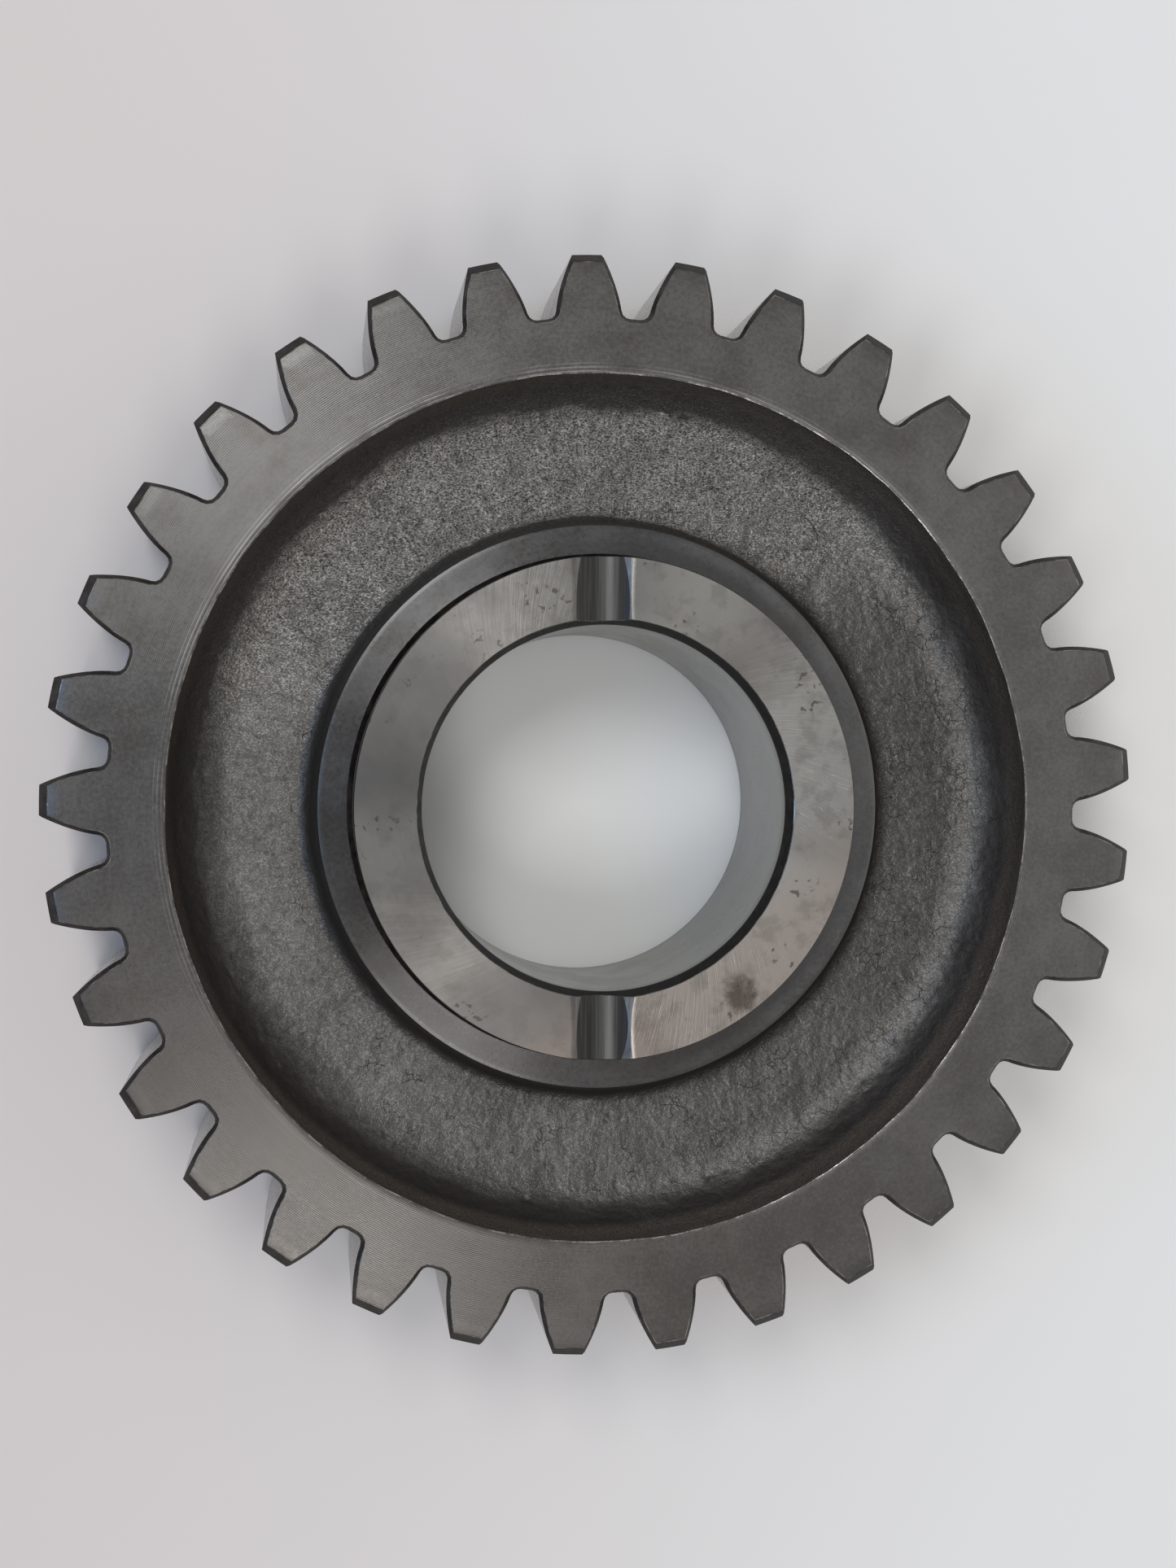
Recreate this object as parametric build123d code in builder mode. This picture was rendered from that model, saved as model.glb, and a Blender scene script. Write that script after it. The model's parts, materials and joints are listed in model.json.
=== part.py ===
from build123d import *
import math
import os

os.makedirs("parts", exist_ok=True)

# Frame: Z is the gear axis, Z up out of the side with the proud sleeve end.
# The origin sits on the axis, half way along the sleeve bore.

# ---- teeth -----------------------------------------------------------------
TEETH = 33
MODULE = 7.0
PRESSURE = math.radians(20.0)
SHIFT = 0.25              # profile shift coefficient
TIP_D = 245.0             # tips are turned back to the unshifted tip diameter
PHASE = 4.52              # angle from +X to the middle of the nearest tooth
ROOT_FILLET = 2.0
FLANK_POINTS = 8          # steps along each involute flank
OVERCUT = 2.0             # how far the cut for a tooth space runs past the tips

PITCH_R = MODULE * TEETH / 2.0
BASE_R = PITCH_R * math.cos(PRESSURE)
TIP_R = TIP_D / 2.0
ROOT_R = PITCH_R - (1.25 - SHIFT) * MODULE
HALF_TOOTH = (math.pi / 2.0 + 2.0 * SHIFT * math.tan(PRESSURE)) / TEETH

# ---- levels along the axis -------------------------------------------------
SLEEVE_TOP = 28.0
SLEEVE_BOTTOM = -28.0
RIM_TOP = 22.4
RIM_WIDTH = 48.0
RIM_BOTTOM = RIM_TOP - RIM_WIDTH
HUB_TOP = 17.7
HUB_BOTTOM = -24.0
RECESS_DEPTH = 14.0
WEB_TOP = RIM_TOP - RECESS_DEPTH
WEB_BOTTOM = RIM_BOTTOM + RECESS_DEPTH

# ---- radii and edge breaks -------------------------------------------------
RIM_IN_R = 96.35          # where the forged recess meets the turned rim face
HUB_OUT_R = 63.05         # where the forged recess meets the turned hub face
SLEEVE_R = 55.5           # outside of the sleeve, and the hub bore it is pressed in
BORE_R = 40.5
RIM_DRAFT = math.tan(math.radians(7.0))
HUB_DRAFT = math.tan(math.radians(14.0))
RIM_ROOT_FILLET = 14.0
HUB_ROOT_FILLET = 4.0
TIP_BREAK_R = 2.0         # turned chamfer on the tooth tips, radial
TIP_BREAK_Z = 2.1
GAP_BREAK_R = 0.9         # chamfer round flanks and roots, across
GAP_BREAK_Z = 1.2
HUB_LEAD = 1.2            # lead-in at both mouths of the hub bore
BORE_LEAD_R = 1.25        # steep chamfer at both mouths of the sleeve bore
BORE_LEAD_Z = 3.8
SLEEVE_EDGE = 0.2

# ---- oil grooves across the sleeve's end face ------------------------------
GROOVE_CHORD = 12.1
GROOVE_DEPTH = 1.8
GROOVE_X = -1.0
GROOVE_R = (GROOVE_CHORD**2 / 4.0 + GROOVE_DEPTH**2) / (2.0 * GROOVE_DEPTH)


def polar(radius, angle):
    return (radius * math.cos(angle), radius * math.sin(angle))


def space_angle(radius, grow):
    """Half angle of the space between two teeth, with its walls moved back by grow."""
    alpha = math.acos(BASE_R / radius)
    involute = math.tan(alpha) - alpha
    start = math.tan(PRESSURE) - PRESSURE
    return math.pi / TEETH - HALF_TOOTH - start + involute + grow / BASE_R


def space_outline(grow):
    """Outline of one tooth space about +X: root arc, fillets, involute flanks."""
    root = ROOT_R - grow
    fillet_r = ROOT_FILLET + grow
    centre_r = root + fillet_r
    centre_a = space_angle(centre_r, grow) - fillet_r / BASE_R
    roll = centre_a + math.acos(BASE_R / centre_r)
    cx, cy = polar(centre_r, centre_a)
    foot = polar(root, centre_a)
    touch = (cx - fillet_r * math.sin(roll), cy + fillet_r * math.cos(roll))
    toward_foot = centre_a + math.pi
    toward_touch = roll + math.pi / 2.0
    middle = (toward_foot + toward_touch) / 2.0
    bend = (cx + fillet_r * math.cos(middle), cy + fillet_r * math.sin(middle))
    touch_r = math.hypot(*touch)
    last_r = TIP_R + OVERCUT
    flank = [touch]
    for i in range(1, FLANK_POINTS + 1):
        radius = touch_r + (last_r - touch_r) * i / FLANK_POINTS
        flank.append(polar(radius, space_angle(radius, grow)))
    return foot, bend, flank


def draw_space(grow):
    foot, bend, flank = space_outline(grow)

    def flip(point):
        return (point[0], -point[1])

    with BuildLine() as outline:
        ThreePointArc(flip(foot), (ROOT_R - grow, 0.0), foot)
        ThreePointArc(foot, bend, flank[0])
        Spline(*flank)
        Line(flank[-1], flip(flank[-1]))
        Spline(*[flip(point) for point in reversed(flank)])
        ThreePointArc(flip(flank[0]), flip(bend), flip(foot))
    make_face(outline.edges())


# One tooth space as a solid: a straight run with a flare at each end face.
with BuildPart() as space:
    with BuildSketch(Plane.XY.offset(RIM_BOTTOM - OVERCUT)):
        draw_space(0.0)
    extrude(amount=RIM_WIDTH + 2.0 * OVERCUT)
    with BuildSketch(Plane.XY.offset(RIM_TOP - GAP_BREAK_Z)):
        draw_space(0.0)
    with BuildSketch(Plane.XY.offset(RIM_TOP)):
        draw_space(GAP_BREAK_R)
    loft(ruled=True)
    with BuildSketch(Plane.XY.offset(RIM_BOTTOM + GAP_BREAK_Z)):
        draw_space(0.0)
    with BuildSketch(Plane.XY.offset(RIM_BOTTOM)):
        draw_space(GAP_BREAK_R)
    loft(ruled=True)

# The forging: hub, web and rim turned from one section, then 33 spaces cut.
rim_foot_r = RIM_IN_R - RIM_DRAFT * RECESS_DEPTH
hub_foot_top_r = HUB_OUT_R + HUB_DRAFT * (HUB_TOP - WEB_TOP)
hub_foot_bottom_r = HUB_OUT_R + HUB_DRAFT * (WEB_BOTTOM - HUB_BOTTOM)

with BuildPart() as gear_body:
    with BuildSketch(Plane.XZ):
        with BuildLine():
            Polyline(
                (SLEEVE_R, HUB_BOTTOM + HUB_LEAD),
                (SLEEVE_R, HUB_TOP - HUB_LEAD),
                (SLEEVE_R + HUB_LEAD, HUB_TOP),
                (HUB_OUT_R, HUB_TOP),
                (hub_foot_top_r, WEB_TOP),
                (rim_foot_r, WEB_TOP),
                (RIM_IN_R, RIM_TOP),
                (TIP_R - TIP_BREAK_R, RIM_TOP),
                (TIP_R, RIM_TOP - TIP_BREAK_Z),
                (TIP_R, RIM_BOTTOM + TIP_BREAK_Z),
                (TIP_R - TIP_BREAK_R, RIM_BOTTOM),
                (RIM_IN_R, RIM_BOTTOM),
                (rim_foot_r, WEB_BOTTOM),
                (hub_foot_bottom_r, WEB_BOTTOM),
                (HUB_OUT_R, HUB_BOTTOM),
                (SLEEVE_R + HUB_LEAD, HUB_BOTTOM),
                close=True,
            )
        make_face()
    revolve(axis=Axis.Z)
    for level in (WEB_TOP, WEB_BOTTOM):
        web_edges = gear_body.edges().filter_by_position(Axis.Z, level, level)
        fillet(web_edges.sort_by(SortBy.RADIUS)[0], HUB_ROOT_FILLET)
        web_edges = gear_body.edges().filter_by_position(Axis.Z, level, level)
        fillet(web_edges.sort_by(SortBy.RADIUS)[-1], RIM_ROOT_FILLET)
    with PolarLocations(0.0, TEETH, start_angle=PHASE + 180.0 / TEETH):
        add(space.part, mode=Mode.SUBTRACT)

# The sleeve: a plain bush, longer than the hub, with two grooves in its top end.
with BuildPart() as bearing_sleeve:
    with BuildSketch(Plane.XZ):
        with BuildLine():
            Polyline(
                (BORE_R, SLEEVE_BOTTOM + BORE_LEAD_Z),
                (BORE_R, SLEEVE_TOP - BORE_LEAD_Z),
                (BORE_R + BORE_LEAD_R, SLEEVE_TOP),
                (SLEEVE_R - SLEEVE_EDGE, SLEEVE_TOP),
                (SLEEVE_R, SLEEVE_TOP - SLEEVE_EDGE),
                (SLEEVE_R, SLEEVE_BOTTOM + SLEEVE_EDGE),
                (SLEEVE_R - SLEEVE_EDGE, SLEEVE_BOTTOM),
                (BORE_R + BORE_LEAD_R, SLEEVE_BOTTOM),
                close=True,
            )
        make_face()
    revolve(axis=Axis.Z)
    with BuildSketch(Plane.XZ):
        with Locations((GROOVE_X, SLEEVE_TOP + GROOVE_R - GROOVE_DEPTH)):
            Circle(GROOVE_R)
    extrude(amount=2.0 * SLEEVE_R, both=True, mode=Mode.SUBTRACT)

gear_body.part.label = "gear_body"
bearing_sleeve.part.label = "bearing_sleeve"
export_step(gear_body.part, "parts/gear_body.step")
export_step(bearing_sleeve.part, "parts/bearing_sleeve.step")

for piece in (gear_body.part, bearing_sleeve.part):
    box = piece.bounding_box()
    print(piece.label, "valid", piece.is_valid, "volume", round(piece.volume / 1000.0, 1), "cm3")
    print("  min", tuple(round(v, 3) for v in box.min), "max", tuple(round(v, 3) for v in box.max))
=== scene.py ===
import itertools
import json
import math

import bpy
import numpy as np
from mathutils import Matrix, Vector


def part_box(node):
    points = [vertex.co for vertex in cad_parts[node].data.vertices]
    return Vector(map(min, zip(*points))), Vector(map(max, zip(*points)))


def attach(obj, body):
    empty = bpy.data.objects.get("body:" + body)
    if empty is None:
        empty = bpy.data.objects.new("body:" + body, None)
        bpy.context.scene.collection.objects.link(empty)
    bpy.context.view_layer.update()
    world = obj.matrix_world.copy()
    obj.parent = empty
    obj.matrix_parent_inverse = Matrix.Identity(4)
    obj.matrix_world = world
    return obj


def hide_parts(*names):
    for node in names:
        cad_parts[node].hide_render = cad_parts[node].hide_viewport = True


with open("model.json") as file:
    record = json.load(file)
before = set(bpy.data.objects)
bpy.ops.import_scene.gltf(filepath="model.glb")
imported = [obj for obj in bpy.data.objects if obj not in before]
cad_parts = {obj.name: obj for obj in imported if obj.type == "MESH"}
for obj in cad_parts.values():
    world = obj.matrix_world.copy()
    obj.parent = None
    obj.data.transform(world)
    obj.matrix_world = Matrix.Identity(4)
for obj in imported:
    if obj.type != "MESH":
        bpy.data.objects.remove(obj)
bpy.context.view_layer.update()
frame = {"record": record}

# Shapes are worked out in millimetres in the part's frame. Z is the gear axis, and the oil grooves
# run along Y.
MM = 0.001
gear_low, gear_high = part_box("gear_body")
sleeve_low, sleeve_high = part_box("bearing_sleeve")
mounts = {mount["name"]: mount for mount in frame["record"]["mounts"]}

# ---- teeth, as in the CAD ---------------------------------------------------
TEETH = 33
MODULE = 7.0
PRESSURE = math.radians(20.0)
SHIFT = 0.25
PHASE = math.radians(4.52)  # from +X to the middle of the nearest tooth
ROOT_FILLET = 2.0
PITCH_R = MODULE * TEETH / 2.0
BASE_R = PITCH_R * math.cos(PRESSURE)
ROOT_R = PITCH_R - (1.25 - SHIFT) * MODULE
HALF_TOOTH = (math.pi / 2.0 + 2.0 * SHIFT * math.tan(PRESSURE)) / TEETH
SECTOR = math.pi / TEETH
TIP_R = 122.48            # a hair under the CAD tip radius of 122.5

# ---- levels and radii -------------------------------------------------------
RIM_TOP = gear_high.z / MM
RIM_BOTTOM = gear_low.z / MM
SLEEVE_TOP = sleeve_high.z / MM
SLEEVE_BOTTOM = sleeve_low.z / MM
HUB_TOP = 17.7
HUB_BOTTOM = -24.0
RECESS_DEPTH = 14.0
RIM_IN_R = 96.35
HUB_OUT_R = 63.05
HUB_BORE_R = 55.52        # the CAD's pressed joint is at 55.5; the two meshes keep a hair apart
SLEEVE_R = 55.48
BORE_R = mounts["bore"]["dims"]["r_mm"]
RIM_DRAFT = math.radians(7.0)
HUB_DRAFT = math.radians(14.0)
RIM_ROOT_FILLET = 14.0
HUB_ROOT_FILLET = 4.0
TIP_BREAK_R = 2.0
TIP_BREAK_Z = 2.1
GAP_BREAK_R = 0.9
GAP_BREAK_Z = 1.2
HUB_LEAD = 1.2
BORE_LEAD_R = 1.25
BORE_LEAD_Z = 3.8
SLEEVE_EDGE = 0.2
FINE_EDGE = 0.12          # width of the worn line left on a sharp edge
LIP_EDGE = 0.32           # the same where the rim face meets the recess
RIM_SHIFT = (0.45, -0.18)  # the forged recess lies a little off the gear axis, at the rim
HUB_SHIFT = (0.10, -0.20)  # and at the foot of the hub

# ---- oil grooves ------------------------------------------------------------
GROOVE_HALF = 6.05
GROOVE_DEPTH = 1.8
GROOVE_X = -1.0
GROOVE_R = (GROOVE_HALF**2 + GROOVE_DEPTH**2) / (2.0 * GROOVE_DEPTH)

# ---- forged skin ------------------------------------------------------------
# Swells of the skin, and how the recess's edge wanders: reach, size across and seed.
SWELLS = ((0.24, 14.0, 1), (0.16, 5.5, 2), (0.05, 2.4, 3))
WANDER = ((0.30, 26.0, 11), (0.14, 7.0, 12), (0.06, 2.2, 13))
BEND_SEEDS = (31, 32, 33)
# On the seen side only: how high the grain stands, how deep the cracks and pits go, how far apart the
# cracks are, and how far their lines are pushed about.
GRAIN_HEIGHT, CRACK_DEPTH, PIT_DEPTH = 0.04, 0.04, 0.22
CRACK_CELL, CRACK_BEND = 4.2, 0.9
SEEN_STEP = 0.5           # from one row to the next over the recess that is seen
FAR_STEP = 1.1            # and over the far one
BEND_STEPS = 16           # points round each fillet of the recess
RELIEF_FADE = 1.6         # the relief dies out this far from the recess's edges
SHARP_ANGLE = math.radians(32.0)
NEARLY = 1e-9             # slack when two lengths that should be equal are compared


# ---- seeded noise on points -------------------------------------------------
def hashed(cell, seed):
    """A repeatable number from -1 to 1 for each whole-number cell, by mixing its bits with large numbers."""
    mixed = cell[..., 0] * 73856093 ^ cell[..., 1] * 19349663 ^ cell[..., 2] * 83492791
    mixed = mixed ^ (seed * 2654435761)
    for _ in range(2):
        mixed = (mixed ^ (mixed >> 13)) * 1274126177 & 0x7FFFFFFFFFFF
    return ((mixed >> 9) & 0xFFFFFF) / 0x7FFFFF - 1.0


def lumps(points, size, seed):
    """Smooth noise from -1 to 1 whose bumps are about size millimetres across."""
    place = points / size
    cell = np.floor(place).astype(np.int64)
    part = place - cell
    part = part * part * (3.0 - 2.0 * part)
    total = np.zeros(points.shape[:-1])
    for corner in itertools.product((0, 1), repeat=3):
        weight = np.prod(np.where(corner, part, 1.0 - part), axis=-1)
        total += weight * hashed(cell + np.array(corner), seed)
    return total


def seams(points, size, seed):
    """How near each point is to the border between two cells: 0 on it, about 1 in a cell's middle."""
    place = points / size
    cell = np.floor(place).astype(np.int64)
    nearest = np.full(points.shape[:-1], np.inf)
    second = nearest.copy()
    for step in itertools.product((-1, 0, 1), repeat=3):
        other = cell + np.array(step)
        jitter = np.stack([hashed(other, seed + axis) for axis in range(3)], axis=-1)
        away = np.linalg.norm(other + 0.5 + 0.4 * jitter - place, axis=-1)
        second = np.minimum(second, np.maximum(nearest, away))
        nearest = np.minimum(nearest, away)
    return second - nearest


def layers(points, parts):
    """Sum of smooth noises, each with its own reach, size and seed."""
    return sum(reach * lumps(points, size, seed) for reach, size, seed in parts)


def fade(value, start, end):
    """0 before start and 1 after end, with a smooth turn between."""
    share = np.clip((value - start) / (end - start), 0.0, 1.0)
    return share * share * (3.0 - 2.0 * share)


# ---- meshes from rows of points ---------------------------------------------
def ring_mesh(name, rows, bands, materials, slot):
    """A closed mesh from rows of points, each row joined to the next and the last one to the first."""
    points = np.array(rows)
    count, columns = points.shape[:2]
    index = np.arange(count * columns).reshape(count, columns)
    right = np.roll(index, -1, axis=1)
    below = np.roll(index, -1, axis=0)
    corner = np.roll(right, -1, axis=0)
    faces = np.stack([index, below, corner, right], axis=-1).reshape(-1, 4)
    mesh = bpy.data.meshes.new(name)
    mesh.from_pydata((points.reshape(-1, 3) * MM).tolist(), [], faces.tolist())
    mesh.polygons.foreach_set("material_index", np.array(bands, np.int32).ravel())
    mesh.shade_smooth()
    mesh.set_sharp_from_angle(angle=SHARP_ANGLE)
    for material in materials:
        mesh.materials.append(material)
    piece = bpy.data.objects.new(name, mesh)
    bpy.context.scene.collection.objects.link(piece)
    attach(piece, "root")
    return piece


# ---- gear body --------------------------------------------------------------
SKIN, RIM, HUB, OXIDE, EDGE, FLANK, TIP, BORE = range(8)
RIM_FAR_R = 105.0         # last full circle on the rim face, just inside the tooth roots
# How far below the rim face each row of the chamfers lies. The first few are on the break round
# flanks and roots, and all of them are on the turned break of the tips.
CHAMFER_DEPTHS = (-FINE_EDGE, FINE_EDGE, 0.45, 0.85, GAP_BREAK_Z, 1.6, TIP_BREAK_Z)
GAP_ROWS = 5
# Rows over the hub face, the rim face's inner and outer parts, the teeth and the hub bore.
HUB_ROWS, LIP_ROWS, RIM_ROWS, TOOTH_ROWS, BORE_ROWS = 9, 7, 6, 12, 6
TIP_STEPS, FLANK_STEPS, FILLET_STEPS, ROOT_STEPS = 4, 8, 3, 3
HALF_STEPS = TIP_STEPS + FLANK_STEPS + FILLET_STEPS + ROOT_STEPS
COLUMNS = 2 * HALF_STEPS * TEETH


def space_angle(radius, grow):
    """Half angle of the space between two teeth, with its walls moved back by grow."""
    alpha = np.arccos(BASE_R / radius)
    involute = np.tan(alpha) - alpha
    start = math.tan(PRESSURE) - PRESSURE
    return SECTOR - HALF_TOOTH - start + involute + grow / BASE_R


def half_tooth(tip_r, grow):
    """Radii and angles from the middle of a tooth to the middle of the space beside it."""
    root = ROOT_R - grow
    fillet_r = ROOT_FILLET + grow
    centre_r = root + fillet_r
    centre_a = space_angle(centre_r, grow) - fillet_r / BASE_R
    roll = centre_a + math.acos(BASE_R / centre_r)
    turn = np.linspace(roll + math.pi / 2.0, centre_a + math.pi, FILLET_STEPS + 1)
    x = centre_r * math.cos(centre_a) + fillet_r * np.cos(turn)
    y = centre_r * math.sin(centre_a) + fillet_r * np.sin(turn)
    fillet_radii, fillet_angles = np.hypot(x, y), np.arctan2(y, x)
    flank_radii = np.linspace(tip_r, fillet_radii[0], FLANK_STEPS + 1)
    flank_angles = space_angle(flank_radii, grow)
    land = SECTOR - flank_angles[0]
    radii = np.concatenate([
        np.full(TIP_STEPS, tip_r),
        flank_radii[:-1],
        fillet_radii[:-1],
        np.full(ROOT_STEPS + 1, root),
    ])
    angles = np.concatenate([
        np.linspace(0.0, land, TIP_STEPS + 1)[:-1],
        SECTOR - flank_angles[:-1],
        SECTOR - fillet_angles[:-1],
        SECTOR - np.linspace(centre_a, 0.0, ROOT_STEPS + 1),
    ])
    return radii, angles


def tooth_row(tip_r, grow, level):
    """One row of points round all the teeth."""
    radii, angles = half_tooth(tip_r, grow)
    radii = np.concatenate([radii[:0:-1], radii[:-1]])
    angles = np.concatenate([-angles[:0:-1], angles[:-1]])
    turns = PHASE + 2.0 * SECTOR * np.arange(TEETH)
    angles = (turns[:, None] + angles[None, :]).ravel()
    radii = np.tile(radii, TEETH)
    return np.stack([radii * np.cos(angles), radii * np.sin(angles), np.full(COLUMNS, level)], axis=-1)


ROUND = PHASE - SECTOR + 2.0 * math.pi * np.arange(COLUMNS) / COLUMNS
OUTWARD = np.stack([np.cos(ROUND), np.sin(ROUND), np.zeros(COLUMNS)], axis=-1)


def circle_row(radius, level):
    """One full circle of points; the radius is one number or one for each column."""
    row = OUTWARD * np.broadcast_to(radius, COLUMNS)[:, None]
    row[:, 2] = level
    return row


def recess_section(hub_level, web_level, rim_level, step):
    """Radius and level along the forged recess, from the hub face to the rim face, evenly spaced."""
    up = 1.0 if rim_level > web_level else -1.0
    path = [(HUB_OUT_R, hub_level)]
    for radius, level, draft, size, side in (
        (HUB_OUT_R, hub_level, HUB_DRAFT, HUB_ROOT_FILLET, 1.0),
        (RIM_IN_R, rim_level, RIM_DRAFT, RIM_ROOT_FILLET, -1.0),
    ):
        foot = radius + side * math.tan(draft) * abs(level - web_level)
        centre_r = foot + side * size * math.tan((math.pi / 2.0 - draft) / 2.0)
        swing = np.linspace(draft, math.pi / 2.0, BEND_STEPS)
        arc_r = centre_r - side * size * np.cos(swing)
        arc_z = web_level + up * size * (1.0 - np.sin(swing))
        path += list(zip(arc_r, arc_z))[::int(side)]
    path = np.array(path + [(RIM_IN_R, rim_level)])
    along = np.concatenate([[0.0], np.cumsum(np.hypot(*np.diff(path, axis=0).T))])
    even = np.linspace(0.0, along[-1], int(along[-1] / step) + 1)
    return np.interp(even, along, path[:, 0]), np.interp(even, along, path[:, 1])


def forged_relief(points, fine):
    """Height of the hammered, scaled skin over the plain recess: swells, and if fine, cracks and pits too."""
    height = layers(points, SWELLS)
    if fine:
        bent = points + CRACK_BEND * np.stack([lumps(points, 3.0, seed) for seed in BEND_SEEDS], axis=-1)
        height += GRAIN_HEIGHT * lumps(points, 1.2, 4)
        crack_here = fade(lumps(points, 18.0, 5) + points[..., 0] / 160.0, -0.2, 0.6)
        height -= CRACK_DEPTH * (1.0 - fade(seams(bent, CRACK_CELL, 6), 0.0, 0.22)) * crack_here
        pit_here = fade(lumps(points, 1.6, 7), 0.62, 0.85)
        height -= PIT_DEPTH * pit_here * fade(lumps(points, 9.0, 8), -0.1, 0.6)
    return height


def recess_rows(hub_level, web_level, rim_level, step, fine):
    """Rows over one forged recess, displaced along the surface, with a wandering edge at the rim."""
    radii, levels = recess_section(hub_level, web_level, rim_level, step)
    up = 1.0 if rim_level > web_level else -1.0
    rows = np.array([circle_row(r, z) for r, z in zip(radii, levels)])
    slope_r, slope_z = np.gradient(radii), np.gradient(levels)
    length = np.hypot(slope_r, slope_z)
    normal = OUTWARD[None] * (-up * slope_z / length)[:, None, None]
    normal[..., 2] = (up * slope_r / length)[:, None]
    run = np.arange(len(radii)) * step
    inner = fade(run, 0.0, RELIEF_FADE)[:, None]
    outer = fade(run[-1] - run, 0.0, RELIEF_FADE)[:, None]
    height = forged_relief(rows, fine) * inner * outer
    near_rim = fade(run, run[-1] * 0.35, run[-1] * 0.8)[:, None]
    near_hub = (fade(run, 0.0, 7.0) * fade(run, run[-1] * 0.6, run[-1] * 0.3))[:, None]
    # Taken from elsewhere in the noise, so that the edge doesn't follow the swells beside it.
    edge = rows[-1] + np.array([0.0, 0.0, 50.0 * up])
    shift = near_rim * (layers(edge, WANDER) + OUTWARD[:, 0] * RIM_SHIFT[0] + OUTWARD[:, 1] * RIM_SHIFT[1])
    shift += near_hub * (OUTWARD[:, 0] * HUB_SHIFT[0] + OUTWARD[:, 1] * HUB_SHIFT[1])
    return rows + normal * height[..., None] + OUTWARD[None] * shift[..., None]


def gear_rows():
    """Rows from the top mouth of the hub bore, over the top, down the teeth, and back underneath."""
    rows, bands = [], []
    column = np.arange(COLUMNS) % (2 * HALF_STEPS)
    from_middle = np.abs(column + 0.5 - HALF_STEPS)
    tooth_band = np.where(from_middle < TIP_STEPS, TIP, FLANK)

    def add(row, band):
        rows.append(row)
        bands.append(np.broadcast_to(band, COLUMNS))

    def face(hub_level, web_level, rim_level, step, fine):
        """One side from the hub bore's mouth out to the last circle on the rim face."""
        up = 1.0 if rim_level > web_level else -1.0
        side = [(circle_row(HUB_BORE_R, hub_level - up * HUB_LEAD), OXIDE)]
        side.append((circle_row(HUB_BORE_R + HUB_LEAD - FINE_EDGE, hub_level - up * FINE_EDGE), EDGE))
        for radius in np.linspace(HUB_BORE_R + HUB_LEAD, HUB_OUT_R - 2.0 * FINE_EDGE, HUB_ROWS):
            side.append((circle_row(radius, hub_level), HUB))
        recess = recess_rows(hub_level - up * FINE_EDGE, web_level, rim_level - up * FINE_EDGE, step, fine)
        side += [(row, SKIN) for row in recess]
        side[-1] = (side[-1][0], EDGE)
        lip = recess[-1] + OUTWARD * LIP_EDGE
        lip[:, 2] = rim_level
        side.append((lip, RIM))
        start = np.linalg.norm(lip[:, :2], axis=1)
        for share in np.linspace(0.0, 1.0, LIP_ROWS)[1:]:
            side.append((circle_row(start + (RIM_FAR_R - start) * share, rim_level), RIM))
        return side

    def chamfer(rim_level, up):
        """The turned tip chamfer and the chamfer round flanks and roots, from the rim face down."""
        side = []
        for depth in CHAMFER_DEPTHS:
            tip_r = TIP_R - TIP_BREAK_R * (1.0 - depth / TIP_BREAK_Z)
            grow = GAP_BREAK_R * max(0.0, 1.0 - depth / GAP_BREAK_Z)
            side.append(tooth_row(tip_r, grow, rim_level - up * max(depth, 0.0)))
        return side

    def add_rim_face(start, end):
        """The rim face between its last full circle and the teeth, in either direction."""
        for share in np.linspace(0.0, 1.0, RIM_ROWS)[1:-1]:
            add(start * (1.0 - share) + end * share, RIM)

    top = face(HUB_TOP, RIM_TOP - RECESS_DEPTH, RIM_TOP, SEEN_STEP, True)
    top_edge = chamfer(RIM_TOP, 1.0)
    bottom_edge = chamfer(RIM_BOTTOM, -1.0)
    bottom = face(HUB_BOTTOM, RIM_BOTTOM + RECESS_DEPTH, RIM_BOTTOM, FAR_STEP, False)

    # Each row is added with the material of the faces between it and the next row.
    for row, band in top:
        add(row, band)
    add_rim_face(top[-1][0], top_edge[0])
    add(top_edge[0], EDGE)
    for row in top_edge[1:GAP_ROWS]:
        add(row, OXIDE)
    in_chamfer = np.where(from_middle < TIP_STEPS, OXIDE, FLANK)
    for row in top_edge[GAP_ROWS:-1]:
        bands[-1] = in_chamfer
        add(row, in_chamfer)
    for level in np.linspace(RIM_TOP - TIP_BREAK_Z, RIM_BOTTOM + TIP_BREAK_Z, TOOTH_ROWS):
        add(tooth_row(TIP_R, 0.0, level), tooth_band)
    bands[-1] = in_chamfer
    for row in bottom_edge[-2:GAP_ROWS - 1:-1]:
        add(row, in_chamfer)
    for row in bottom_edge[GAP_ROWS - 1:0:-1]:
        add(row, OXIDE)
    bands[-1] = np.full(COLUMNS, EDGE)
    add(bottom_edge[0], RIM)
    add_rim_face(bottom_edge[0], bottom[-1][0])
    inward = bottom[::-1]
    for (row, _), (_, band) in zip(inward, inward[1:] + [(None, BORE)]):
        add(row, band)
    for level in np.linspace(HUB_BOTTOM + HUB_LEAD, HUB_TOP - HUB_LEAD, BORE_ROWS)[1:-1]:
        add(circle_row(HUB_BORE_R, level), BORE)
    return rows, bands


# ---- bearing sleeve ---------------------------------------------------------
FACE, WALL, LEAD, LINE, GROOVE, BEVEL, INSIDE = range(7)
WINDOW = 12.0             # half width of the stretch whose columns run along a groove
WINDOW_STEPS = (6, 3, 16, 3, 6)
ARC_STEPS = 170
STRAIGHT = 2.0            # the rows are flat circles from this far above the hub face downwards
LEAST_BEVEL = 0.08
# Rows over the bore's chamfer, the grooved end, the straight wall, the far end and the bore.
LEAD_ROWS, END_ROWS, WALL_ROWS, FAR_ROWS, INSIDE_ROWS = 6, 25, 8, 12, 12
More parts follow.
